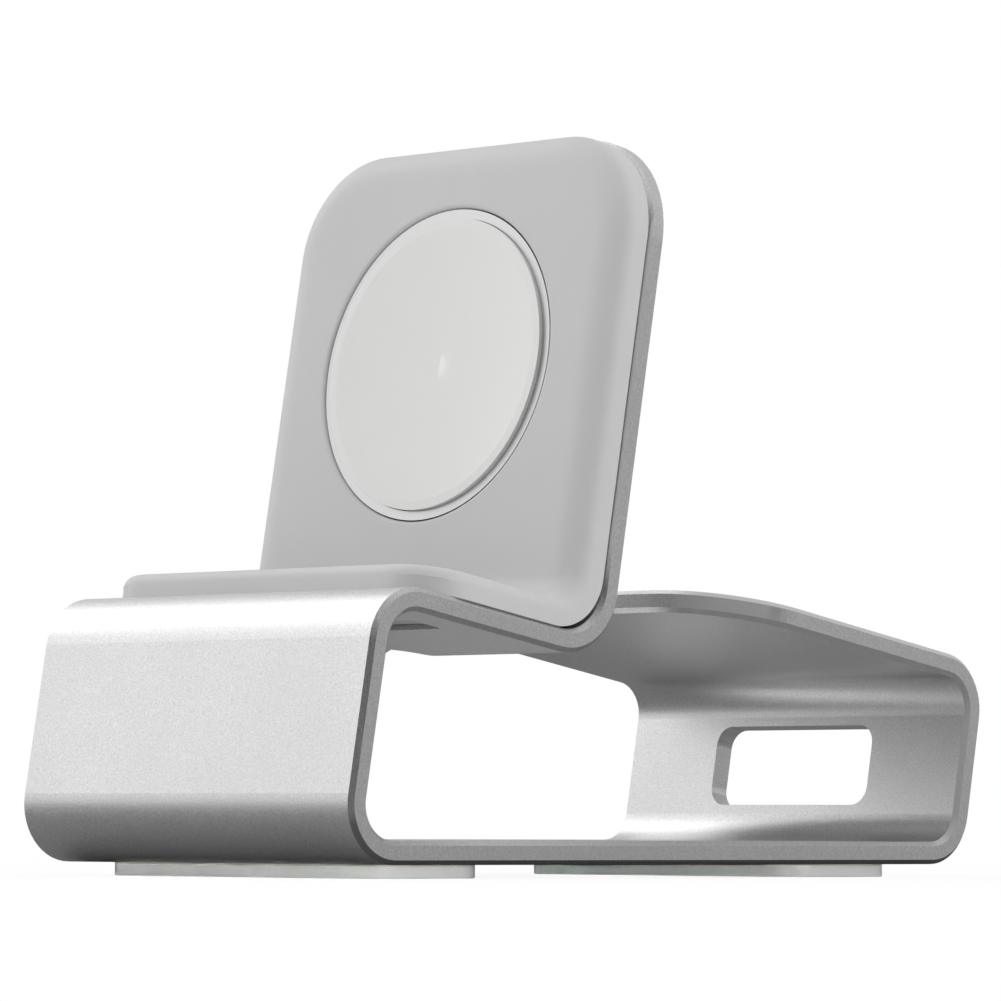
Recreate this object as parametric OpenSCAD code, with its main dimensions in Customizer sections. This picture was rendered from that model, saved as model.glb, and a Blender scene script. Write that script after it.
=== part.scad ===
// Smartwatch charging dock. Millimetres, +Z up, front toward -Y.
// Origin: centre of the footprint, on the plane the feet stand on.

/* [Metal strip] */
// Width of the strip, side to side
strip_width = 42; // [40:0.5:46]
// Thickness of the sheet
sheet = 2; // [1.6:0.1:2.2]
// Bevel along the long edges
edge_bevel = 0.4; // [0.2:0.05:0.5]
// Inside radius of the four bends of the base
bend_radius = 3; // [2.5:0.1:3.5]
// Inside radius of the bend between shelf and upright
shelf_bend_radius = 4; // [3.5:0.1:4.5]
// Lean of front, riser and upright, and slope of shelf and rear plate
lean = 10; // [8:0.5:12]
// Inside length of the base plate
base_length = 71.7; // [68:0.5:80]
// Inside height of the front panel
front_height = 19.3; // [18:0.1:22]
// Inside height of the rear riser
riser_height = 14.35; // [14:0.05:16]
// Length of the shelf, inside corner to outside corner
shelf_length = 25.4; // [24.6:0.1:28]
// Length of the upright above the shelf corner
upright_length = 46.3; // [45.8:0.1:50]
// Length of the rear plate from the riser corner
rear_plate_length = 32.6; // [26:0.1:34]
// Radius of the corners at both free ends
end_radius = 9.4; // [7:0.1:10]

/* [Openings in the strip] */
// Width of the window in the riser
window_width = 19.6; // [14:0.1:24]
// Height of the window in the riser
window_height = 7.4; // [5:0.1:8]
// Corner radius of the window
window_radius = 1.75; // [1:0.05:2.2]
// Height of the window centre above the inside corner of the riser
window_centre = 7.05; // [6.8:0.05:7.4]
// Distance from the shelf corner to the locking slot
lock_start = 6.05; // [5.6:0.05:6.4]
// Width of the locking slot along the shelf
lock_width = 3.5; // [3:0.05:4]
// Length of the locking slot, side to side
lock_length = 33.2; // [26:0.1:34]
// Corner radius of the locking slot
lock_corner = 0.5; // [0.4:0.05:0.8]
// Width of the cable slot
cable_slot = 8.6; // [7:0.1:10]
// Reach of the cable slot in front of the shelf corner
cable_reach = 9; // [8:0.1:10]

/* [Cradle] */
// Thickness of the cradle skin
skin = 2.4; // [2.2:0.05:2.6]
// How far the cradle stays inside the strip edge
cradle_inset = 0.2; // [0.1:0.05:0.5]
// Distance from the shelf corner to the front edge of the cradle
cradle_start = 3.2; // [2.8:0.05:3.5]
// Radius of the front corners of the cradle
cradle_corner = 5; // [3:0.1:6]
// Rounding of the exposed edges
cradle_edge = 1; // [0.5:0.05:1.2]
// Outer radius of the cradle where shelf turns into upright
cradle_bend = 5; // [4.8:0.05:5.2]
// Height of the raised watch rest above the metal
rest_height = 3.6; // [3.2:0.05:4]
// Height of the flat side of the watch rest above the metal
rest_side = 1.5; // [1.3:0.05:1.7]
// Radius of the shoulder above the flat side
rest_shoulder = 1.7; // [1.2:0.05:1.9]
// Radius over which the shoulder runs out into the flat top
rest_round = 3.1; // [2.5:0.1:4]
// Fillet between watch rest and shelf
rest_fillet = 2.4; // [1.5:0.1:3]
// Wall of the cup that holds the charging puck
cup_wall = 1.2; // [1:0.05:1.4]
// Floor of the cup
cup_floor = 1; // [0.8:0.05:1.4]
// Gap between the cup and the hole in the upright
cup_gap = 0.2; // [0.1:0.05:0.3]
// Width of the cable groove
cable_groove = 4.2; // [3.8:0.1:5]
// Depth of the cable groove in front of the metal
groove_depth = 1.6; // [1.2:0.05:1.7]
// Gap around the locking rib
rib_gap = 0.2; // [0.1:0.05:0.3]
// How far the locking rib stays above the underside of the shelf
rib_short = 0.4; // [0.2:0.05:0.8]
// Bevel round the back of the cup
cup_bevel = 0.8; // [0.4:0.05:0.9]

/* [Charging puck] */
// Diameter of the puck
puck_diameter = 27.9; // [27.5:0.05:28.1]
// Thickness of the puck
puck_thickness = 8; // [7.6:0.05:8.4]
// Height of the puck centre above the shelf corner
puck_height = 26.05; // [25.6:0.05:27.5]
// How far the puck stands out of the watch rest
puck_proud = 0.2; // [0.1:0.05:0.6]
// Gap around the puck
puck_gap = 0.1; // [0.05:0.05:0.2]
// Diameter of the central magnet
magnet_diameter = 9.6; // [8:0.1:10]
// Outer diameter of the coil
coil_diameter = 22.4; // [20:0.1:22.6]
// Radius of the hollow in the puck face
face_hollow = 90; // [70:1:140]

/* [Feet] */
// Length of each foot, side to side
foot_length = 34; // [28:0.5:38]
// Width of each foot
foot_width = 13.9; // [9:0.1:15]
// Thickness of each foot
foot_thickness = 1; // [0.8:0.05:2]
// Corner radius of each foot
foot_corner = 3; // [1:0.1:4]
// Distance of each foot from the bends of the base
foot_setback = 0.6; // [0.4:0.1:4]

/* [Thin layers] */
// Thickness of every adhesive layer
film = 0.15; // [0.1:0.05:0.2]
// Width of the adhesive strip on the shelf
shelf_film_width = 5; // [3:0.1:5.4]
// Length of the adhesive strip on the shelf
shelf_film_length = 32; // [24:0.5:36]
// Distance from the locking slot to the adhesive strip
shelf_film_gap = 1; // [0.6:0.1:1.2]
// Width of the adhesive ring round the cup
ring_film_width = 3.6; // [2:0.1:3.8]
// Distance from the hole edge to the adhesive ring
ring_film_gap = 0.4; // [0.2:0.05:0.6]

/* [Hidden] */
$fn = 64;
eps = 0.01;
// Bends reach this many degrees into the straight legs and lie this far inside their skin
lap = 1;
seam = 0.002;
over = 1;
sn = sin(lean);
cs = cos(lean);
tn = tan(lean);
outer_radius = bend_radius + sheet;
shelf_outer = shelf_bend_radius + sheet;
half_width = strip_width / 2;
end_centre = half_width - end_radius;

// Inside corners of the side profile as [y, z], before the shift to the origin
a1 = [0, sheet];
a2 = [base_length, sheet];
a3 = [base_length + riser_height * tn, sheet + riser_height];
a4 = [front_height * tn, sheet + front_height];
k5 = [a4[0] + shelf_length * cs, a4[1] - shelf_length * sn];

// Bend centres
c1 = [bend_radius / tan((90 - lean) / 2), sheet + bend_radius];
c2 = [base_length - bend_radius / tan((90 + lean) / 2), sheet + bend_radius];
c3 = [a3[0] - bend_radius * (sn + cs), a3[1] + bend_radius * (sn - cs)];

// Lengths of the straight legs
front_leg = front_height / cs - bend_radius / tan((90 - lean) / 2) - bend_radius;
riser_leg = riser_height / cs - bend_radius / tan((90 + lean) / 2) - bend_radius;
shelf_leg = shelf_length - bend_radius - shelf_outer;
upright_leg = upright_length - shelf_outer;
rear_leg = rear_plate_length - bend_radius;

// The profile is shifted so that the origin is under the middle of the footprint
y_front = c1[0] - outer_radius;
y_back = c3[0] + outer_radius;
y_shift = -(y_front + y_back) / 2;
z_shift = foot_thickness + film;

// Cup and puck, measured from the front face of the upright
puck_radius = puck_diameter / 2;
pocket_radius = puck_radius + puck_gap;
cup_radius = pocket_radius + cup_wall;
hole_radius = cup_radius + cup_gap;
puck_front = rest_height + puck_proud;
puck_back = puck_front - puck_thickness;

// Cradle outline
cradle_half = half_width - cradle_inset;
cradle_end = end_radius - cradle_inset;
cradle_turn = shelf_length - sheet - cradle_bend;

// Two arcs shape the side of the rest; the shoulder stands out of the larger one by the dip.
// The places are rounded to a thousandth, so that straight and turned stretches meet exactly.
function milli(v) = round(v * 1000) / 1000;
roll_dip = 0.02;
roll_reach = rest_round - rest_shoulder + roll_dip;
roll_drop = rest_side - rest_height + rest_round;
roll_run = sqrt(roll_reach * roll_reach - roll_drop * roll_drop);
rest_top = milli(cradle_half - rest_shoulder - roll_run);
roll_start = milli(cradle_half - rest_shoulder * (1 - roll_run / roll_reach));

// Layers inside the puck, measured from its back
fit = 0.05;
can_wall = 0.8;
can_step = 1.2;
can_floor = 0.8;
can_bevel = 0.6;
ledge_depth = 1.8;
ledge_level = puck_thickness - ledge_depth;
face_under = ledge_level + film;
face_rim = 0.4;
face_radius = puck_radius - can_wall - fit;
hollow_radius = face_radius - 0.8;
board_gap = 0.35;
board_radius = puck_radius - can_step - board_gap;
board_thick = 0.8;
insulator_thick = 0.2;
board_level = can_floor + insulator_thick;
board_top = board_level + board_thick;
spacer_height = 1.2;
spacer_wall = 0.9;
ferrite_level = board_top + spacer_height;
ferrite_thick = 1;
coil_level = ferrite_level + ferrite_thick;
coil_thick = 1.2;
ferrite_rim = 0.4;
ferrite_radius = coil_diameter / 2 + ferrite_rim;
magnet_radius = magnet_diameter / 2;
disc_rim = 0.5;
disc_radius = magnet_radius + disc_rim;
disc_thick = 0.8;
core_gap = 0.3;
core_radius = disc_radius + core_gap;
coil_core = core_radius + 0.3;
inlet_radius = 1.8;
inlet_bore = 1.3;
inlet_inside = 0.4;
inlet_level = puck_thickness / 2;
chip_gap = 0.6;
chip_width = 3;
chip_height = 0.8;

stand_strip();
cradle();
shelf_film();
upright_film();
front_foot();
rear_foot();
front_foot_film();
rear_foot_film();
puck_can();
puck_face();
face_glue();
magnet();
steel_disc();
coil();
coil_foam();
ferrite_ring();
spacer_ring();
circuit_board();
control_chip();
power_chip();
insulator();
inlet_sleeve();

// Frames. In the profile frame x is world Y, y is world Z and z is world X.
module profile() {
    translate([0, y_shift, z_shift]) rotate([90, 0, 90]) children();
}

// x runs along a leg, y across the sheet, z side to side
module at_leg(p, a) {
    profile() translate([p[0], p[1], 0]) rotate([0, 0, a]) children();
}

// x runs back along the shelf from its inside corner, y = 0 on its underside
module on_shelf() {
    at_leg(a4, -lean) children();
}

// x runs up the upright from the shelf corner, y = 0 on its front face
module on_upright() {
    at_leg(k5, 90 - lean) translate([0, sheet, 0]) children();
}

// z runs out of the watch rest along the puck axis, z = 0 on the puck back
module on_puck() {
    on_upright() translate([puck_height, puck_back, 0]) rotate([-90, 0, 0]) children();
}

// x = thickness, y = width, bevelled on all four corners, drawn in by s all round
module strip_section(s = 0) {
    b = edge_bevel;
    h = half_width - s;
    t = sheet - s;
    polygon([[b, -h], [sheet - b, -h], [t, b - h], [t, h - b],
             [sheet - b, h], [b, h], [s, h - b], [s, b - h]]);
}

// Straight piece of strip along +x
module leg(length) {
    rotate([90, 0, 90]) linear_extrude(length) strip_section();
}

// Bend to the left (+y) with the frame carried on to its far end
module bend_left(inside, turn) {
    translate([0, sheet + inside, 0]) rotate([0, 0, -90 - lap])
        rotate_extrude(angle = turn + 2 * lap) translate([inside, 0]) strip_section(seam);
    translate([0, sheet + inside, 0]) rotate([0, 0, turn])
        translate([0, -sheet - inside, 0]) children();
}

// Bend to the right (-y) with the frame carried on to its far end
module bend_right(inside, turn) {
    translate([0, -inside, 0]) rotate([0, 0, 90 - turn - lap])
        rotate_extrude(angle = turn + 2 * lap) translate([inside, 0]) strip_section(seam);
    translate([0, -inside, 0]) rotate([0, 0, -turn])
        translate([0, inside, 0]) children();
}

// Straight piece with the frame carried on to its far end
module run(length) {
    leg(length);
    translate([length, 0, 0]) children();
}

// Free end with two rounded, bevelled corners; the end face is at x = end_radius
module free_end() {
    b = edge_bevel;
    r = end_radius;
    pts = [[0, 0], [r - b, 0], [r, b], [r, sheet - b], [r - b, sheet], [0, sheet]];
    linear_extrude(2 * end_centre, center = true) polygon(pts);
    for (s = [0, 1]) mirror([0, 0, s]) translate([0, 0, -end_centre])
        rotate([-90, 0, 0]) rotate_extrude(angle = 90) polygon(pts);
}

// Rectangle with rounded corners, centred
module round_rect(x, y, r) {
    square([x - 2 * r, y], center = true);
    square([x, y - 2 * r], center = true);
    for (i = [-1, 1], j = [-1, 1])
        translate([i * (x / 2 - r), j * (y / 2 - r)]) circle(r);
}

// Aluminium strip, bent five times
module stand_strip() {
    base_leg = c2[0] - c1[0];
    color([0.85, 0.86, 0.87]) difference() {
        union() {
            at_leg([c1[0], 0], 0) {
                run(base_leg) bend_left(bend_radius, 90 - lean) run(riser_leg)
                    bend_left(bend_radius, 90) run(rear_leg - end_radius) free_end();
                mirror([1, 0, 0]) bend_left(bend_radius, 90 + lean) run(front_leg)
                    bend_left(bend_radius, 90) run(shelf_leg)
                    bend_right(shelf_bend_radius, 90) run(upright_leg - end_radius)
                    free_end();
            }
        }
        riser_window();
        lock_bar(0, -over, sheet + over);
        cable_cut();
        on_upright() translate([puck_height, -sheet - over, 0]) rotate([-90, 0, 0])
            cylinder(r = hole_radius, h = sheet + 2 * over);
    }
}

// Window in the riser
module riser_window() {
    at_leg(a2, 90 - lean) translate([window_centre, over, 0])
        rotate([90, 0, 0]) linear_extrude(sheet + 2 * over)
            round_rect(window_height, window_width, window_radius);
}

// Rounded bar through the shelf, from a level below its top, drawn in by gap
module lock_bar(gap, low, high) {
    on_shelf() translate([lock_start + lock_width / 2, high, 0])
        rotate([90, 0, 0]) linear_extrude(high - low)
            round_rect(lock_width - 2 * gap, lock_length - 2 * gap, lock_corner);
}

// Cable slot: starts in the shelf, runs through the bend into the puck hole
module cable_cut() {
    start = shelf_length - cable_reach + cable_slot / 2;
    on_shelf() {
        translate([start, -over, 0]) rotate([-90, 0, 0])
            cylinder(d = cable_slot, h = sheet + 2 * over);
        translate([start, -over, -cable_slot / 2])
            cube([shelf_length + over - start, puck_height + over, cable_slot]);
    }
}

// x = thickness, y = width, the two outer corners rounded, drawn in by d all round
module skin_section(h, d = 0) {
    r = cradle_edge;
    translate([d, d - h]) square([skin - r - d, 2 * (h - d)]);
    translate([d, r - h]) square([skin - 2 * d, 2 * (h - r)]);
    for (s = [-1, 1]) translate([skin - r, s * (h - r)]) circle(r - d);
}

// Half of an end section: x = outward, y = thickness, outer corner rounded
module end_section(reach) {
    r = cradle_edge;
    square([reach, skin - r]);
    square([reach - r, skin]);
    translate([reach - r, skin - r]) circle(r);
}

// Rounded end of the cradle skin; reach is also the corner radius
module skin_end(centre, reach) {
    linear_extrude(2 * centre, center = true) end_section(reach);
    for (s = [0, 1]) mirror([0, 0, s]) translate([0, 0, -centre])
        rotate([-90, 0, 0]) rotate_extrude(angle = 90) end_section(reach);
}

// Half of the raised rest: x = outward, y = height, rolled off at its side
module rest_section(centre) {
    low = skin / 2;
    half = cradle_half - centre;
    top = rest_top - centre;
    intersection() {
        translate([0, low]) square([half + over, rest_height]);
        union() {
            square([half, rest_side]);
            translate([half - rest_shoulder, rest_side]) circle(rest_shoulder);
            intersection() {
                square([roll_start - centre, rest_height + over]);
                union() {
                    square([top, rest_height]);
                    translate([top, rest_height - rest_round]) circle(rest_round);
                }
            }
        }
    }
}

// Raised watch rest, with rounded corners at the top
module rest() {
    start = sheet + skin - eps;
    top = upright_length - end_radius;
    on_upright() for (s = [0, 1]) mirror([0, 0, s]) {
        translate([start, 0, 0]) rotate([0, 90, 0])
            linear_extrude(top - start) rest_section(0);
        translate([top, 0, -end_centre]) {
            linear_extrude(end_centre) rest_section(end_centre);
            rotate([-90, 0, 0]) rotate_extrude(angle = 90) rest_section(end_centre);
        }
    }
}

// Concave corner between the shelf skin and the watch rest
module rest_corner() {
    f = rest_fillet;
    on_upright() translate([sheet + skin, rest_height, 0])
        linear_extrude(2 * rest_top, center = true) difference() {
            translate([-eps, -eps]) square(f + eps);
            translate([f, f]) circle(f);
        }
}

// Soft cradle, one moulding
module cradle() {
    color([0.82, 0.83, 0.84]) difference() {
        union() {
            on_shelf() translate([0, sheet, 0]) {
                translate([cradle_start + cradle_corner, 0, 0]) rotate([90, 0, 90])
                    linear_extrude(cradle_turn - cradle_start - cradle_corner)
                        skin_section(cradle_half);
                translate([cradle_start + cradle_corner, 0, 0]) mirror([1, 0, 0])
                    skin_end(cradle_half - cradle_corner, cradle_corner);
                translate([cradle_turn, cradle_bend, 0]) rotate([0, 0, -90 - lap])
                    rotate_extrude(angle = 90 + 2 * lap) translate([cradle_bend, 0])
                        mirror([1, 0]) skin_section(cradle_half, seam);
            }
            on_upright() {
                translate([sheet + cradle_bend, 0, 0]) rotate([90, 0, 90])
                    linear_extrude(upright_length - end_radius - sheet - cradle_bend)
                        skin_section(cradle_half);
                translate([upright_length - end_radius, 0, 0])
                    skin_end(end_centre, cradle_end);
            }
            rest();
            rest_corner();
            lock_bar(rib_gap, rib_short, sheet + skin / 2);
            cup();
        }
        on_puck() cylinder(r = pocket_radius, h = puck_thickness + over);
        cable_path();
        shelf_film_shape(over);
        upright_film_shape(over);
    }
}

// Cup behind the watch rest, bevelled round its back
module cup() {
    top = rest_height - puck_back;
    on_puck() rotate_extrude()
        polygon([[0, -cup_floor], [cup_radius - cup_bevel, -cup_floor],
                 [cup_radius, cup_bevel - cup_floor], [cup_radius, top], [0, top]]);
}

// Groove for the cable, from the pocket down behind the cradle
module cable_path() {
    low = sheet + cradle_bend;
    on_upright() translate([low, puck_back - cup_floor - over, -cable_groove / 2])
        cube([puck_height - pocket_radius - low + over,
              groove_depth - puck_back + cup_floor + over, cable_groove]);
}

// Adhesive under the shelf part of the cradle; extra makes the recess for it
module shelf_film_shape(extra) {
    on_shelf() translate([lock_start + lock_width + shelf_film_gap, sheet - extra,
                          -shelf_film_length / 2])
        cube([shelf_film_width, film + extra, shelf_film_length]);
}

module shelf_film() {
    color([0.75, 0.7, 0.55]) shelf_film_shape(0);
}

// Open ring of adhesive round the cup, clear of the cable slot and of the bend
module upright_film_shape(extra) {
    inner = hole_radius + ring_film_gap;
    outer = inner + ring_film_width;
    slot_half = cable_slot / 2 + ring_film_gap;
    through = film + extra + 2 * over;
    on_upright() difference() {
        translate([puck_height, -extra, 0]) rotate([-90, 0, 0]) difference() {
            cylinder(r = outer, h = film + extra);
            translate([0, 0, -over]) cylinder(r = inner, h = through);
        }
        translate([0, -extra - over, -slot_half]) cube([puck_height, through, 2 * slot_half]);
        translate([0, -extra - over, -outer])
            cube([shelf_outer + ring_film_gap, through, 2 * outer]);
    }
}

module upright_film() {
    color([0.75, 0.7, 0.55]) upright_film_shape(0);
}

// Foot shape between two levels
module foot_plate(y, low, high) {
    translate([0, y + y_shift, low]) linear_extrude(high - low)
        round_rect(foot_length, foot_width, foot_corner);
}

foot_front_y = c1[0] + foot_setback + foot_width / 2;
foot_rear_y = c2[0] - foot_setback - foot_width / 2;

module front_foot() {
    color([0.8, 0.8, 0.8]) foot_plate(foot_front_y, 0, foot_thickness);
}

module rear_foot() {
    color([0.8, 0.8, 0.8]) foot_plate(foot_rear_y, 0, foot_thickness);
}

module front_foot_film() {
    color([0.75, 0.7, 0.55]) foot_plate(foot_front_y, foot_thickness, z_shift);
}

module rear_foot_film() {
    color([0.75, 0.7, 0.55]) foot_plate(foot_rear_y, foot_thickness, z_shift);
}

// Metal can of the puck, with a ledge for the face and a hole for the inlet
module puck_can() {
    r = puck_radius;
    top = puck_thickness - face_rim;
    color([0.9, 0.9, 0.9]) difference() {
        on_puck() rotate_extrude()
            polygon([[0, 0], [r - can_bevel, 0], [r, can_bevel], [r, top],
                     [r - can_wall, top], [r - can_wall, ledge_level],
                     [r - can_step, ledge_level], [r - can_step, can_floor],
                     [0, can_floor]]);
        inlet_rod(inlet_radius, puck_radius - can_step - over, over);
    }
}

// Rod along the inlet axis, from a distance inside the puck to a bit beyond its side
module inlet_rod(r, from, beyond) {
    on_puck() translate([-from, 0, inlet_level]) rotate([0, -90, 0])
        cylinder(r = r, h = puck_radius - from + beyond);
}

// White face, hollow in front
module puck_face() {
    color([0.97, 0.97, 0.97]) on_puck() difference() {
        translate([0, 0, face_under])
            cylinder(r = face_radius, h = puck_thickness - face_under);
        translate([0, 0, puck_thickness
                   + sqrt(face_hollow * face_hollow - hollow_radius * hollow_radius)])
            sphere(face_hollow, $fn = 200);
    }
}

// Flat ring with a hole, standing on a level inside the puck
module ring(level, height, outer, inner) {
    on_puck() translate([0, 0, level]) difference() {
        cylinder(r = outer, h = height);
        translate([0, 0, -over]) cylinder(r = inner, h = height + 2 * over);
    }
}

module face_glue() {
    color([0.8, 0.75, 0.6])
        ring(ledge_level, film, face_radius - fit, puck_radius - can_step + fit);
}

module steel_disc() {
    color([0.6, 0.62, 0.65]) on_puck() translate([0, 0, can_floor])
        cylinder(r = disc_radius, h = disc_thick);
}

module magnet() {
    color([0.7, 0.72, 0.75]) on_puck() translate([0, 0, can_floor + disc_thick])
        cylinder(r = magnet_radius, h = face_under - can_floor - disc_thick);
}

module insulator() {
    color([0.9, 0.7, 0.3]) ring(can_floor, insulator_thick, board_radius, core_radius);
}

module circuit_board() {
    color([0.1, 0.4, 0.2]) ring(board_level, board_thick, board_radius, core_radius);
}

// Chip on the board, turned round the puck axis
module chip(turn, long) {
    on_puck() rotate([0, 0, turn]) translate([core_radius + chip_gap, -long / 2, board_top])
        cube([chip_width, long, chip_height]);
}

module control_chip() {
    color([0.1, 0.1, 0.1]) chip(60, 3);
}

module power_chip() {
    color([0.12, 0.12, 0.12]) chip(-60, 4);
}

module spacer_ring() {
    color([0.9, 0.9, 0.85])
        ring(board_top, spacer_height, ferrite_radius, ferrite_radius - spacer_wall);
}

module ferrite_ring() {
    color([0.25, 0.25, 0.27])
        ring(ferrite_level, ferrite_thick, ferrite_radius, core_radius);
}

module coil() {
    color([0.72, 0.45, 0.2])
        ring(coil_level, coil_thick, coil_diameter / 2, coil_core);
}

module coil_foam() {
    color([0.3, 0.3, 0.32])
        ring(coil_level + coil_thick, face_under - coil_level - coil_thick,
             coil_diameter / 2, coil_core);
}

// Gland in the side of the puck, where a cable would enter
module inlet_sleeve() {
    color([0.95, 0.95, 0.95]) difference() {
        inlet_rod(inlet_radius - fit, puck_radius - can_step - inlet_inside, 0);
        inlet_rod(inlet_bore, puck_radius - can_step - over, over);
    }
}
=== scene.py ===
"""Smartwatch charging dock: camera, studio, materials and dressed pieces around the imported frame."""

import math

import bmesh
import bpy
from mathutils import Matrix, Vector


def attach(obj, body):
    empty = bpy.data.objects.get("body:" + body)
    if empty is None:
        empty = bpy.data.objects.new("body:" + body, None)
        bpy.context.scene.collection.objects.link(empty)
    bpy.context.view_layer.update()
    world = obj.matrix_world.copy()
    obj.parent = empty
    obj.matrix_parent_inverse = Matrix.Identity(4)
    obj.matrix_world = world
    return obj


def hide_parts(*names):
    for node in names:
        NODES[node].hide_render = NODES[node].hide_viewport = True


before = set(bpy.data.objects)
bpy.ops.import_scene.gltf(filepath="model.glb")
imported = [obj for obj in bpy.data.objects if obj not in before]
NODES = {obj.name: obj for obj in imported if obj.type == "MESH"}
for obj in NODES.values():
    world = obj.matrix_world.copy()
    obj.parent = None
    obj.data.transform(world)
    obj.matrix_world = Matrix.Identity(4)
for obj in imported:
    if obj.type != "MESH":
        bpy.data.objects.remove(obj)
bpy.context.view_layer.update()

MM = 0.001
scene = bpy.context.scene
scene.view_settings.view_transform = "Standard"

# Camera, solved from the straight edges of the strip

CAM_PLACE = Vector((377.81, -365.97, 4.432)) * MM
CAM_YAW, CAM_PITCH, CAM_ROLL = 46.04, 3.12, 0.25
CAM_LENS, CAM_SENSOR = 214.42, 36.0


def make_camera():
    yaw, pitch, roll = (math.radians(a) for a in (CAM_YAW, CAM_PITCH, CAM_ROLL))
    ahead = Vector((-math.sin(yaw) * math.cos(pitch), math.cos(yaw) * math.cos(pitch), math.sin(pitch)))
    right = Vector((math.cos(yaw), math.sin(yaw), 0.0))
    up = right.cross(ahead)
    x_axis = right * math.cos(roll) + up * math.sin(roll)
    y_axis = up * math.cos(roll) - right * math.sin(roll)
    data = bpy.data.cameras.new("camera")
    data.lens, data.sensor_width = CAM_LENS, CAM_SENSOR
    data.clip_start, data.clip_end = 0.01, 20.0
    cam = bpy.data.objects.new("camera", data)
    turn = Matrix((x_axis, y_axis, -ahead)).transposed().to_4x4()
    cam.matrix_world = Matrix.Translation(CAM_PLACE) @ turn
    scene.collection.objects.link(cam)
    scene.camera = cam


make_camera()

# Node helpers


class Graph:
    """A few words to write a node tree with."""

    def __init__(self, tree):
        self.tree = tree
        self.nodes = tree.nodes
        self.nodes.clear()

    def add(self, kind, inputs=None, **settings):
        node = self.nodes.new(kind)
        for key, value in settings.items():
            setattr(node, key, value)
        for key, value in (inputs or {}).items():
            self.put(node, key, value)
        return node

    def put(self, node, key, value):
        socket = node.inputs[key]
        if isinstance(value, bpy.types.NodeSocket):
            self.tree.links.new(value, socket)
        else:
            socket.default_value = value

    def noise(self, coords, size, detail=3.0, roughness=0.5):
        """Noise whose grains are about size metres across."""
        node = self.add("ShaderNodeTexNoise", {"Vector": coords, "Scale": 1.0 / size, "Detail": detail,
                                               "Roughness": roughness})
        return node.outputs["Fac"]

    def ramp(self, value, low, high, out_low=0.0, out_high=1.0):
        node = self.add("ShaderNodeMapRange", {"Value": value, "From Min": low, "From Max": high,
                                               "To Min": out_low, "To Max": out_high})
        return node.outputs["Result"]

    def math(self, operation, a, b=0.0):
        return self.add("ShaderNodeMath", {0: a, 1: b}, operation=operation).outputs[0]

    def product(self, first, *others):
        for value in others:
            first = self.math("MULTIPLY", first, value)
        return first

    def mix(self, factor, a, b):
        node = self.add("ShaderNodeMix", data_type="RGBA")
        for index, value in ((0, factor), (6, a), (7, b)):
            self.put(node, index, value)
        return node.outputs[2]

    def bump(self, height, distance, strength=1.0, normal=None):
        node = self.add("ShaderNodeBump", {"Height": height, "Distance": distance, "Strength": strength})
        if normal is not None:
            self.put(node, "Normal", normal)
        return node.outputs["Normal"]

    def coords(self, kind="Object"):
        return self.add("ShaderNodeTexCoord").outputs[kind]

    def split(self, vector):
        return self.add("ShaderNodeSeparateXYZ", {"Vector": vector}).outputs

    def seen(self):
        """1 for rays from the eye, straight or through something clear, else 0."""
        rays = self.add("ShaderNodeLightPath").outputs
        return self.math("MAXIMUM", rays["Is Camera Ray"], rays["Is Transmission Ray"])

    def finish(self, surface, kind="Material"):
        self.add("ShaderNodeOutput" + kind, {"Surface": surface})


def rgba(colour, gain=1.0):
    if isinstance(colour, (int, float)):
        colour = (colour,) * 3
    return tuple(c * gain for c in colour) + (1.0,)


def material(name, colour, rough, vary=0.06, blotch=0.012, grain=0.0003, rough_vary=0.06,
             bump=0.00001, bump_strength=0.5, metallic=0.0):
    """A finish whose colour, roughness and relief all come from noise at two sizes.

    grain is the size of the fine relief and blotch that of the slow change in colour, in metres.
    """
    mat = bpy.data.materials.new(name)
    mat.use_nodes = True
    g = Graph(mat.node_tree)
    at = g.coords()
    slow = g.noise(at, blotch, detail=4.0)
    fine = g.noise(at, grain, detail=2.0)
    tone = g.mix(g.ramp(slow, 0.3, 0.7), rgba(colour, 1.0 - vary), rgba(colour, 1.0 + vary * 0.5))
    tone = g.mix(g.ramp(fine, 0.3, 0.7, 0.0, 0.5), tone, rgba(colour, 1.0 - vary * 0.7))
    roughness = g.ramp(g.math("ADD", slow, fine), 0.6, 1.4, rough - rough_vary, rough + rough_vary)
    normal = g.bump(fine, bump, bump_strength)
    shader = g.add("ShaderNodeBsdfPrincipled", {"Base Color": tone, "Roughness": roughness, "Normal": normal,
                                                "Metallic": metallic})
    g.finish(shader.outputs["BSDF"])
    return mat


def dress(obj, mat):
    obj.data.materials.clear()
    obj.data.materials.append(mat)


# Materials

# Grains of the blasted metal in metres: pits, grit in them, and the slow cloud in the sheen
PIT_SIZE, GRIT_SIZE, CLOUD_SIZE = 0.00017, 0.00012, 0.018
PIT_DEPTH, GRIT_DEPTH = 0.00003, 0.00001
SMOOTHEST, ROUGHEST, DULL_ROUGH = 0.34, 0.44, 0.8
PIT_TONE, RIDGE_TONE, CLOUD_TONE = rgba(0.62), rgba((0.84, 0.84, 0.843)), rgba((0.70, 0.70, 0.706))
# Painted light and shade on the bevels: a paler tone above the base, a dark tone under it
BEVEL_PAINTED_LIGHT, UNDER_PAINTED_SHADE = rgba(0.94), rgba(0.30)


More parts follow.
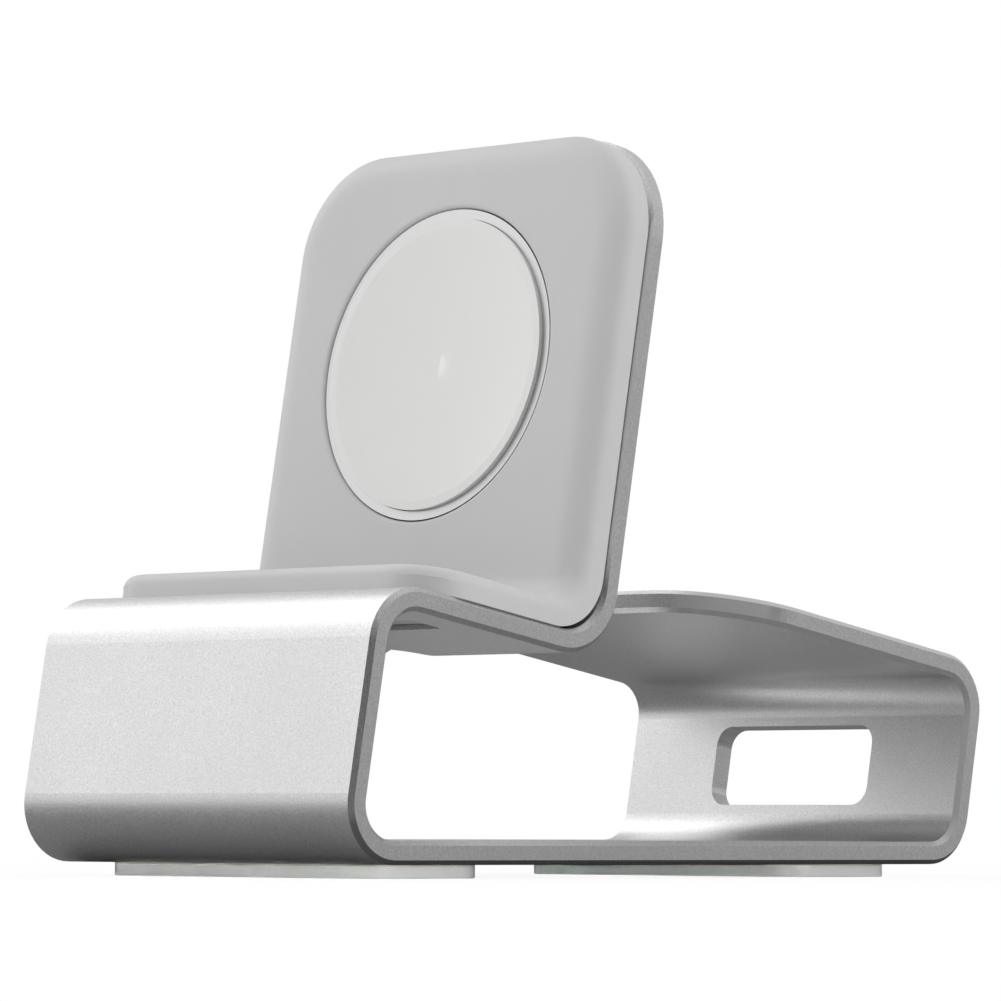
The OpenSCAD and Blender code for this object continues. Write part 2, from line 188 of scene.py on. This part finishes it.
def blasted_aluminium():
    """Bead-blasted, anodised sheet: a tight pitted grain with a slow cloud in its sheen."""
    mat = bpy.data.materials.new("blasted_aluminium")
    mat.use_nodes = True
    g = Graph(mat.node_tree)
    at = g.coords()
    pits = g.noise(at, PIT_SIZE, detail=3.0, roughness=0.7)
    grit = g.noise(at, GRIT_SIZE, detail=1.0)
    cloud = g.noise(at, CLOUD_SIZE, detail=3.0)
    tone = g.mix(g.ramp(pits, 0.35, 0.65), PIT_TONE, RIDGE_TONE)
    tone = g.mix(g.ramp(cloud, 0.3, 0.7, 0.0, 0.3), tone, CLOUD_TONE)
    rough = g.ramp(g.math("ADD", g.product(pits, 0.6), g.product(cloud, 0.4)), 0.35, 0.65,
                   SMOOTHEST, ROUGHEST)
    # Painted light: the bevels above the base are made dull and given a paler tone, all of them behind, the
    # outer half on the upright
    spot, facing = g.split(at), g.split(g.coords("Normal"))
    sideways, outward = g.math("ABSOLUTE", facing["X"]), g.math("ABSOLUTE", spot["X"])
    bevel = g.product(g.ramp(sideways, 0.25, 0.35), g.ramp(sideways, 0.97, 0.93))
    behind = g.product(g.ramp(spot["Y"], 0.002, 0.004), g.ramp(spot["Z"], 0.0035, 0.0042))
    upright = g.product(g.ramp(spot["Y"], 0.004, 0.002), g.ramp(spot["Z"], 0.0245, 0.0285),
                        g.ramp(outward, 0.02072, 0.02082))
    dull_and_painted_light = g.product(bevel, g.math("MAXIMUM", behind, upright))
    rough = g.add("ShaderNodeMix", {0: dull_and_painted_light, 2: rough, 3: DULL_ROUGH}).outputs[0]
    tone = g.mix(dull_and_painted_light, tone, BEVEL_PAINTED_LIGHT)
    # Painted shade: the bevel under the base and its two bends gets a dark tone
    under_shade = g.product(bevel, g.ramp(facing["Z"], -0.02, -0.25), g.ramp(spot["Z"], 0.0080, 0.0060))
    tone = g.mix(under_shade, tone, UNDER_PAINTED_SHADE)
    normal = g.bump(pits, PIT_DEPTH, 0.5)
    normal = g.bump(grit, GRIT_DEPTH, 0.25, normal)
    shader = g.add("ShaderNodeBsdfPrincipled", {"Base Color": tone, "Roughness": rough, "Normal": normal,
                                                "Metallic": 1.0})
    g.finish(shader.outputs["BSDF"])
    return mat


ALUMINIUM = blasted_aluminium()
SOFT_GREY = material("soft_grey", (0.60, 0.60, 0.603), 0.52, vary=0.03, grain=0.00035, bump=0.000008,
                     bump_strength=0.35, rough_vary=0.05)
FOOT_RUBBER = material("foot_rubber", (0.88, 0.88, 0.88), 0.48, vary=0.05, grain=0.0004, bump=0.00001)
ADHESIVE = material("adhesive_film", (0.72, 0.68, 0.56), 0.35, vary=0.08, grain=0.0006, bump=0.00001)
PUCK_METAL = material("puck_metal", (0.62, 0.625, 0.63), 0.36, vary=0.03, grain=0.00015, metallic=1.0,
                      bump=0.000006, bump_strength=0.3)
PUCK_WHITE = material("puck_white", (0.80, 0.80, 0.79), 0.16, vary=0.02, blotch=0.02, grain=0.0008,
                      rough_vary=0.03, bump=0.000002, bump_strength=0.2)
INNER = {
    "magnet": material("nickel_plate", (0.62, 0.60, 0.56), 0.3, metallic=1.0),
    "steel_disc": material("bare_steel", (0.50, 0.50, 0.51), 0.42, metallic=1.0, vary=0.1),
    "coil": material("coil_copper", (0.72, 0.36, 0.16), 0.34, metallic=1.0, vary=0.15, grain=0.0004),
    "coil_foam": material("coil_foam", (0.09, 0.09, 0.10), 0.9, vary=0.3, grain=0.0005, bump=0.0001),
    "ferrite_ring": material("ferrite", (0.06, 0.06, 0.065), 0.55, vary=0.2),
    "spacer_ring": material("spacer_plastic", (0.72, 0.71, 0.67), 0.5),
    "circuit_board": material("circuit_board", (0.03, 0.16, 0.07), 0.4, vary=0.25, grain=0.0006),
    "control_chip": material("control_chip", (0.03, 0.03, 0.032), 0.5, vary=0.2),
    "power_chip": material("power_chip", (0.035, 0.035, 0.035), 0.55, vary=0.2),
    "insulator": material("insulator_film", (0.65, 0.36, 0.08), 0.3, vary=0.1),
    "inlet_sleeve": material("inlet_plastic", (0.74, 0.74, 0.73), 0.4),
}

dress(NODES["stand_strip"], ALUMINIUM)
dress(NODES["cradle"], SOFT_GREY)
dress(NODES["puck_can"], PUCK_METAL)
dress(NODES["puck_face"], PUCK_WHITE)
for name in ("front_foot", "rear_foot"):
    dress(NODES[name], FOOT_RUBBER)
for name in ("shelf_film", "upright_film", "front_foot_film", "rear_foot_film", "face_glue"):
    dress(NODES[name], ADHESIVE)
for name, mat in INNER.items():
    dress(NODES[name], mat)

# Sizes of the dock in millimetres, as its solids have them

LEAN_DEGREES = 10
LEAN = math.radians(LEAN_DEGREES)
SHEET, BEND = 2.0, 3.0
BASE, FRONT, RISER, SHELF, UPRIGHT = 71.7, 19.3, 14.35, 25.4, 46.3
END_RADIUS = 9.4
FOOT_LEVEL = 1.15
SN, CS, TN = math.sin(LEAN), math.cos(LEAN), math.tan(LEAN)
# Where the straight leg of the base starts and ends, from the inside front corner
LEG_START = BEND / math.tan(math.radians(90 - LEAN_DEGREES) / 2)
LEG_END = BASE - BEND / math.tan(math.radians(90 + LEAN_DEGREES) / 2)
Y_FRONT = LEG_START - BEND - SHEET
Y_BACK = BASE + RISER * TN - BEND * (SN + CS) + BEND + SHEET
Y_SHIFT = -(Y_FRONT + Y_BACK) / 2


def place(x, y, z):
    """Point given along the shelf, up across it and side to side, in the row frame in metres."""
    along = FRONT * TN + x * CS + y * SN + Y_SHIFT
    return Vector((z, along, SHEET + FRONT - x * SN + y * CS + FOOT_LEVEL)) * MM


# Soft cradle

SKIN, INSET, START, CORNER, EDGE, TURN_RADIUS = 2.4, 0.2, 3.2, 5.0, 1.0, 5.0
REST, REST_SIDE, SHOULDER, REST_ROUND, REST_FILLET = 3.6, 1.5, 1.7, 3.1, 2.4
PUCK_AT, POCKET, CUP, POCKET_DEEP, CUP_DEEP = 26.05, 14.05, 15.25, 4.2, 5.2
RIM, CUP_EDGE, SEAT = 0.35, 0.8, 0.01
GROOVE_WIDE, GROOVE_DEEP = 4.2, 1.6
HALF = 21.0 - INSET
TOP = UPRIGHT - INSET - 0.005
TOP_CORNER = END_RADIUS - INSET
WALL_X = SHELF - SHEET
TURN_X, TURN_Y = WALL_X - TURN_RADIUS, SHEET + TURN_RADIUS
# The shoulder of the rest hands over to the larger arc at ROLL_START and is flat from ROLL_END
ROLL_DROP = REST_SIDE - REST + REST_ROUND
ROLL_RUN = math.sqrt((REST_ROUND - SHOULDER) ** 2 - ROLL_DROP ** 2)
ROLL_START = SHOULDER * (1 - ROLL_RUN / (REST_ROUND - SHOULDER))
ROLL_END = SHOULDER + ROLL_RUN


def corner_distance(along, z, radius):
    """Distance inside an outline whose end is at along = 0 and whose two corners are round."""
    a, b = along - radius, HALF - radius - abs(z)
    if a < 0 and b < 0:
        return radius - math.hypot(a, b)
    return min(along, HALF - abs(z))


def reach(along, radius):
    """Half width of the outline at that distance from its end."""
    a = max(0.0, radius - along)
    return HALF - radius + math.sqrt(max(0.0, radius * radius - a * a))


def arc_height(radius, across):
    return math.sqrt(max(0.0, radius * radius - across * across))


def edge_drop(d, r):
    return 0.0 if d >= r else r - arc_height(r, r - d)


def shelf_height(d):
    """Height of the shelf skin over the metal, at a distance from its side."""
    return SKIN - edge_drop(d, EDGE)


def rest_height(d):
    """Height of the watch rest over the metal, at a distance from its side."""
    if d < ROLL_START:
        return REST_SIDE + arc_height(SHOULDER, SHOULDER - d)
    if d < ROLL_END:
        return REST - REST_ROUND + arc_height(REST_ROUND, ROLL_END - d)
    return REST


def fillet(d):
    """Radius of the concave turn, which is concentric with the metal bend at the side."""
    share = (rest_height(d) - REST_SIDE) / (REST - REST_SIDE)
    return (TURN_RADIUS - REST_SIDE) * (1 - share) + REST_FILLET * share


def spaced(a, b, step):
    n = max(1, round((b - a) / step))
    return [a + (b - a) * i / n for i in range(n + 1)]


def sieve(points, gap=0.012):
    """Sorted, without near repeats."""
    out = []
    for p in sorted(points):
        if not out or p - out[-1] > gap:
            out.append(p)
    return out


# Edges sharper than this many degrees stay sharp in the shading
SHARP = math.radians(38.0)
# Distances from the edge at which the rounded shapes need a row or column
EDGE_STEPS = (0.0, 0.02, 0.08, 0.18, 0.32, 0.5, 0.7, 0.85, 1.05, 1.35, 1.7, 2.1, 2.7, 3.3, 4.0)
STEP = 0.8
# Half of the square patch, round the puck, whose rows and columns give way to rings
SQUARE = 15.9
SHELF_ROWS = sieve([START + e for e in EDGE_STEPS] + spaced(START + 4.6, TURN_X, STEP))
ARC_ROWS = [i / 16 for i in range(1, 16)]
UP_ROWS = sieve(spaced(TURN_Y, PUCK_AT - SQUARE, STEP) + spaced(PUCK_AT - SQUARE, PUCK_AT + SQUARE, STEP)
                + [TOP - e for e in EDGE_STEPS])
ROWS = [("shelf", v) for v in SHELF_ROWS] + [("arc", v) for v in ARC_ROWS] + [("up", v) for v in UP_ROWS]
COLUMNS = sieve([(HALF - e) * s for e in EDGE_STEPS for s in (-1, 1)] + spaced(-SQUARE, SQUARE, STEP))


def row_reach(row):
    kind, v = row
    if kind == "shelf":
        return reach(v - START, CORNER)
    return reach(TOP - v, TOP_CORNER) if kind == "up" else HALF


def outer(row, z):
    """Point of the seen surface: on that row, at that z."""
    kind, v = row
    side = HALF - abs(z)
    r = fillet(side)
    x_turn, y_turn = WALL_X - rest_height(side) - r, SHEET + shelf_height(side) + r
    if kind == "shelf":
        x = START + (v - START) * (x_turn - START) / (TURN_X - START)
        return place(x, SHEET + shelf_height(corner_distance(x - START, z, CORNER)), z)
    if kind == "arc":
        a = v * math.pi / 2
        return place(x_turn + r * math.sin(a), y_turn - r * math.cos(a), z)
    y = TOP - (TOP - v) * (TOP - y_turn) / (TOP - TURN_Y)
    return place(WALL_X - rest_height(corner_distance(TOP - y, z, TOP_CORNER)), y, z)


def lining(row, z, w):
    """Point at height w above the metal: on that row, at that z."""
    kind, v = row
    if kind == "shelf":
        return place(v, SHEET + w, z)
    if kind == "arc":
        a = v * math.pi / 2
        return place(TURN_X + (TURN_RADIUS - w) * math.sin(a), TURN_Y - (TURN_RADIUS - w) * math.cos(a), z)
    return place(WALL_X - w, v, z)


def face_point(y, z, w):
    """Point over the upright: y up it, w in front of its metal."""
    return place(WALL_X - w, y, z)


def sheet_with_hole(bm, point, ring_point, ring_steps, flip):
    """Grid over ROWS and COLUMNS with a round hole at the puck. Returns its rim and the hole's last ring."""
    n, m = len(ROWS), len(COLUMNS)
    near = 0.02
    i0 = next(i for i, row in enumerate(ROWS) if row[0] == "up" and row[1] >= PUCK_AT - SQUARE - near)
    i1 = max(i for i, row in enumerate(ROWS) if row[0] == "up" and row[1] <= PUCK_AT + SQUARE + near)
    j0 = next(j for j, z in enumerate(COLUMNS) if z >= -SQUARE - near)
    j1 = m - 1 - j0

    def inside(i, j):
        return i0 < i < i1 and j0 < j < j1

    grid = [[None if inside(i, j) else bm.verts.new(point(ROWS[i], COLUMNS[j] / HALF * row_reach(ROWS[i])))
             for j in range(m)] for i in range(n)]

    def quad(*corners):
        bm.faces.new(corners[::-1] if flip else corners)

    for i in range(n - 1):
        for j in range(m - 1):
            if i0 <= i < i1 and j0 <= j < j1:
                continue
            quad(grid[i][j], grid[i][j + 1], grid[i + 1][j + 1], grid[i + 1][j])
    loop = ([(i0, j) for j in range(j0, j1)] + [(i, j1) for i in range(i0, i1)]
            + [(i1, j) for j in range(j1, j0, -1)] + [(i, j0) for i in range(i1, i0, -1)])
    angles = []
    for i, j in loop:
        z = COLUMNS[j] / HALF * row_reach(ROWS[i])
        angles.append(math.atan2(ROWS[i][1] - PUCK_AT, z))
    last = [grid[i][j] for i, j in loop]
    for e in ring_steps:
        ring = [bm.verts.new(ring_point(a, e)) for a in angles]
        for k in range(len(ring)):
            q = (k + 1) % len(ring)
            quad(last[q], last[k], ring[k], ring[q])
        last = ring
    rim = (grid[0] + [row[-1] for row in grid[1:]] + grid[-1][-2::-1] + [row[0] for row in grid[-2:0:-1]])
    return rim, last, angles


def bridge(bm, rings, closed_cap=False):
    for a, b in zip(rings, rings[1:]):
        for k in range(len(a)):
            q = (k + 1) % len(a)
            bm.faces.new((a[k], a[q], b[q], b[k]))
    if closed_cap:
        bm.faces.new(rings[-1])


def finish_mesh(bm, name, mat):
    bmesh.ops.recalc_face_normals(bm, faces=bm.faces)
    mesh = bpy.data.meshes.new(name)
    bm.to_mesh(mesh)
    bm.free()
    mesh.polygons.foreach_set("use_smooth", [True] * len(mesh.polygons))
    mesh.set_sharp_from_angle(angle=SHARP)
    obj = bpy.data.objects.new(name, mesh)
    scene.collection.objects.link(obj)
    dress(obj, mat)
    return obj


def pocket_ring(angles, radius, w, bm):
    return [bm.verts.new(face_point(PUCK_AT + radius * math.sin(a), radius * math.cos(a), w)) for a in angles]


def cut_groove(obj):
    """Cable groove: through the lower wall of the cup and up behind the skin, as in the solid."""
    low, high = TURN_Y, PUCK_AT - POCKET + 1.0
    behind, front = -CUP_DEEP - 1.0, GROOVE_DEEP
    half = GROOVE_WIDE / 2
    bm = bmesh.new()
    ends = [[bm.verts.new(face_point(y, z, w)) for z, w in
             ((-half, behind), (half, behind), (half, front), (-half, front))] for y in (low, high)]
    bm.faces.new(ends[0])
    bridge(bm, ends, closed_cap=True)
    cutter = finish_mesh(bm, "groove_cutter", SOFT_GREY)
    cut = obj.modifiers.new("groove", "BOOLEAN")
    cut.operation, cut.solver, cut.object = "DIFFERENCE", "EXACT", cutter
    result = bpy.data.meshes.new_from_object(obj.evaluated_get(bpy.context.evaluated_depsgraph_get()))
    obj.modifiers.clear()
    bpy.data.objects.remove(cutter)
    obj.data = result
    result.set_sharp_from_angle(angle=SHARP)


def make_cradle():
    bm = bmesh.new()

    def front_ring(a, e):
        y, z = PUCK_AT + (POCKET + e) * math.sin(a), (POCKET + e) * math.cos(a)
        d = corner_distance(TOP - y, z, TOP_CORNER)
        return face_point(y, z, rest_height(d) - edge_drop(e, RIM))

    steps = (1.2, 0.75, 0.5, 0.35, 0.2, 0.1, 0.04, 0.0)
    rim_out, hole, angles = sheet_with_hole(bm, outer, front_ring, steps, False)
    walls = [hole] + [pocket_ring(angles, POCKET, w, bm) for w in (2.2, 0.0, -2.2, -POCKET_DEEP)]
    bridge(bm, walls, closed_cap=True)

    def back_ring(a, e):
        return face_point(PUCK_AT + (CUP + e) * math.sin(a), (CUP + e) * math.cos(a), SEAT)

    def back(row, z):
        return lining(row, math.copysign(max(0.0, abs(z) - 0.15), z), SEAT)

    rim_in, hole, angles = sheet_with_hole(bm, back, back_ring, (0.3, 0.0), True)
    cup = [hole] + [pocket_ring(angles, CUP, w, bm) for w in (-1.5, -3.0, CUP_EDGE - CUP_DEEP)]
    for k in range(1, 7):
        a = k / 6 * math.pi / 2
        radius, level = CUP - CUP_EDGE * (1 - math.cos(a)), CUP_EDGE * (1 - math.sin(a)) - CUP_DEEP
        cup.append(pocket_ring(angles, radius, level, bm))
    cup.append(pocket_ring(angles, CUP - 3.0, -CUP_DEEP, bm))
    bridge(bm, cup, closed_cap=True)

    # Side wall, from the rounded edge down to the metal
    n, m = len(ROWS), len(COLUMNS)
    order = ([(0, j) for j in range(m)] + [(i, m - 1) for i in range(1, n)]
             + [(n - 1, j) for j in range(m - 2, -1, -1)] + [(i, 0) for i in range(n - 2, 0, -1)])
    rings = [rim_out]
    for w in (1.1, 0.6, 0.15, 0.05):
        rings.append([bm.verts.new(lining(ROWS[i], COLUMNS[j] / HALF * row_reach(ROWS[i]), w))
                      for i, j in order])
    rings.append(rim_in)
    bridge(bm, rings)
    obj = finish_mesh(bm, "cradle_soft", SOFT_GREY)
    cut_groove(obj)
    return obj


def rounded_outline(x, y, r, steps=8):
    """Corner points of a rounded rectangle, centred, anticlockwise."""
    points = []
    for k, (i, j) in enumerate(((1, 1), (-1, 1), (-1, -1), (1, -1))):
        for t in range(steps + 1):
            a = (k + t / steps) * math.pi / 2
            points.append((i * (x / 2 - r) + r * math.cos(a), j * (y / 2 - r) + r * math.sin(a)))
    return points


def make_pad(name, length, width, corner, levels, spot, mat):
    """Rounded bar from rings of (inset, level); spot turns its (x, y, level) into a place."""
    bm = bmesh.new()
    rings = []
    for inset, level in levels:
        outline = rounded_outline(length - 2 * inset, width - 2 * inset, max(0.05, corner - inset))
        rings.append([bm.verts.new(spot(x, y, level)) for x, y in outline])
    bm.faces.new(rings[0])
    bridge(bm, rings, closed_cap=True)
    return finish_mesh(bm, name, mat)


def rounded_levels(low, high, r_low, r_high, steps=4):
    """Rings of a bar whose lower and upper edges are rounded."""
    turns = [(math.sin(t / steps * math.pi / 2), math.cos(t / steps * math.pi / 2)) for t in range(steps + 1)]
    rings = [(r_low * (1 - s), low + r_low * (1 - c)) for s, c in turns]
    return rings + [(r_high * (1 - c), high - r_high * (1 - s)) for s, c in turns]


cradle = make_cradle()
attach(cradle, "root")
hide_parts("cradle")

RIB_X, RIB_WIDE, RIB_LONG = 6.05 + 1.75, 3.1, 32.8
rib = make_pad("cradle_rib", RIB_LONG, RIB_WIDE, 0.5, rounded_levels(0.4, SHEET + 1.0, 0.25, 0.1),
               lambda x, y, level: place(RIB_X + y, level, x), SOFT_GREY)
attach(rib, "root")

# Feet

FOOT_LONG, FOOT_WIDE, FOOT_CORNER, FOOT_TALL, FOOT_BACK = 34.0, 13.9, 3.0, 1.0, 0.6
FOOT_PLACES = (("front_foot", LEG_START + FOOT_BACK + FOOT_WIDE / 2),
               ("rear_foot", LEG_END - FOOT_BACK - FOOT_WIDE / 2))
for name, y in FOOT_PLACES:
    levels = rounded_levels(0.0, FOOT_TALL, 0.15, 0.08)
    pad = make_pad(name + "_pad", FOOT_LONG, FOOT_WIDE, FOOT_CORNER, levels,
                   lambda x, v, level, y=y: Vector((x, v + y + Y_SHIFT, level)) * MM, FOOT_RUBBER)
    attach(pad, "root")
    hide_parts(name)

# Studio

# Half size of the floor in metres, its tone to light that is scattered and to the eye
FLOOR_HALF, FLOOR_TONE, SEEN_TONE = 4.0, 0.80, 0.9
# Tone of the floor as the metal mirrors it, in front of the dock and behind it: a painted dark reflection,
# far below the floor's own tone
METAL_FRONT, METAL_BACK = 0.25, 0.21
# Share of even white the eye sees on the floor: at the dock and far from it
GLOW_NEAR, GLOW_FAR = 0.93, 1.0
# Level of the room and of its dark part on the near right, which fades in between two angles in degrees
WORLD_LEVEL, DARK_LEVEL = 0.66, 0.02
DARK_FROM, DARK_TO = 80.0, 40.0
NEAR_RIGHT = Vector((0.72, -0.69, 0.0)).normalized()


def floor_paint():
    """Matt paint with a white glow for camera and transmission rays, and a tone of its own in metal."""
    mat = bpy.data.materials.new("floor")
    mat.use_nodes = True
    g = Graph(mat.node_tree)
    at = g.coords()
    eye = g.seen()
    in_metal = g.add("ShaderNodeLightPath").outputs["Is Glossy Ray"]
    away = g.add("ShaderNodeVectorMath", {0: at}, operation="LENGTH").outputs["Value"]
    # Painted dark reflection: the metal sees the floor darker than it is lit
    mirrored_painted_dark = g.mix(g.ramp(g.split(at)["Y"], -0.03, 0.08), rgba(METAL_FRONT), rgba(METAL_BACK))
    colour = g.mix(in_metal, rgba(FLOOR_TONE), mirrored_painted_dark)
    paint = g.add("ShaderNodeBsdfDiffuse", {"Color": g.mix(eye, colour, rgba(SEEN_TONE))})
    white = g.add("ShaderNodeEmission", {"Color": rgba(1.0), "Strength": 1.0})
    share = g.product(eye, g.ramp(away, 0.08, 0.30, GLOW_NEAR, GLOW_FAR))
    mixed = g.add("ShaderNodeMixShader", {0: share, 1: paint.outputs[0], 2: white.outputs[0]})
    g.finish(mixed.outputs[0])
    return mat


def make_floor():
    mesh = bpy.data.meshes.new("floor")
    corners = [(x * FLOOR_HALF, y * FLOOR_HALF, 0) for x, y in ((-1, -1), (1, -1), (1, 1), (-1, 1))]
    mesh.from_pydata(corners, [], [(0, 1, 2, 3)])
    floor = bpy.data.objects.new("floor", mesh)
    scene.collection.objects.link(floor)
    dress(floor, floor_paint())


def make_world():
    """White to the eye; to the object a grey room that is darker on the near right."""
    world = bpy.data.worlds.new("studio")
    scene.world = world
    world.use_nodes = True
    g = Graph(world.node_tree)
    near = g.add("ShaderNodeVectorMath", {0: g.coords("Generated"), 1: NEAR_RIGHT}, operation="DOT_PRODUCT")
    level = g.ramp(near.outputs["Value"], math.cos(math.radians(DARK_FROM)), math.cos(math.radians(DARK_TO)),
                   WORLD_LEVEL, DARK_LEVEL)
    room = g.add("ShaderNodeBackground", {"Color": rgba(1.0), "Strength": level})
    white = g.add("ShaderNodeBackground", {"Color": rgba(1.0), "Strength": 1.0})
    mixed = g.add("ShaderNodeMixShader", {0: g.seen(), 1: room.outputs[0], 2: white.outputs[0]})
    g.finish(mixed.outputs[0], "World")


def softbox(name, direction, distance, width, height, radiance, target=(0.0, 0.0, 0.03), in_metal=True,
            spread=180.0):
    """An area lamp that shines radiance (1 = white) on the target from that direction, in metres."""
    data = bpy.data.lights.new(name, "AREA")
    data.shape = "RECTANGLE"
    data.size, data.size_y = width, height
    data.energy = math.pi * width * height * radiance
    data.spread = math.radians(spread)
    lamp = bpy.data.objects.new(name, data)
    aim = Vector(direction).normalized()
    lamp.location = Vector(target) + aim * distance
    lamp.rotation_mode = "QUATERNION"
    lamp.rotation_quaternion = aim.to_track_quat("Z", "Y")
    lamp.visible_camera = False
    lamp.visible_glossy = in_metal
    scene.collection.objects.link(lamp)


make_floor()
make_world()
softbox("key", (-0.72, -0.65, 0.41), 0.6, 0.75, 0.46, 0.48)
softbox("top", (-0.72, -0.12, 0.68), 0.6, 0.36, 0.5, 1.15)
softbox("right_high", (0.80, 0.50, 0.42), 0.6, 0.6, 0.6, 1.7, in_metal=False)
softbox("front_high", (0.10, -0.72, 0.70), 0.6, 0.4, 0.35, 2.3)
softbox("floor_strip", (0.72, -0.69, 0.0), 0.25, 0.30, 0.004, 1.8, target=(0.0, 0.0, 0.0022), in_metal=False,
        spread=6.0)
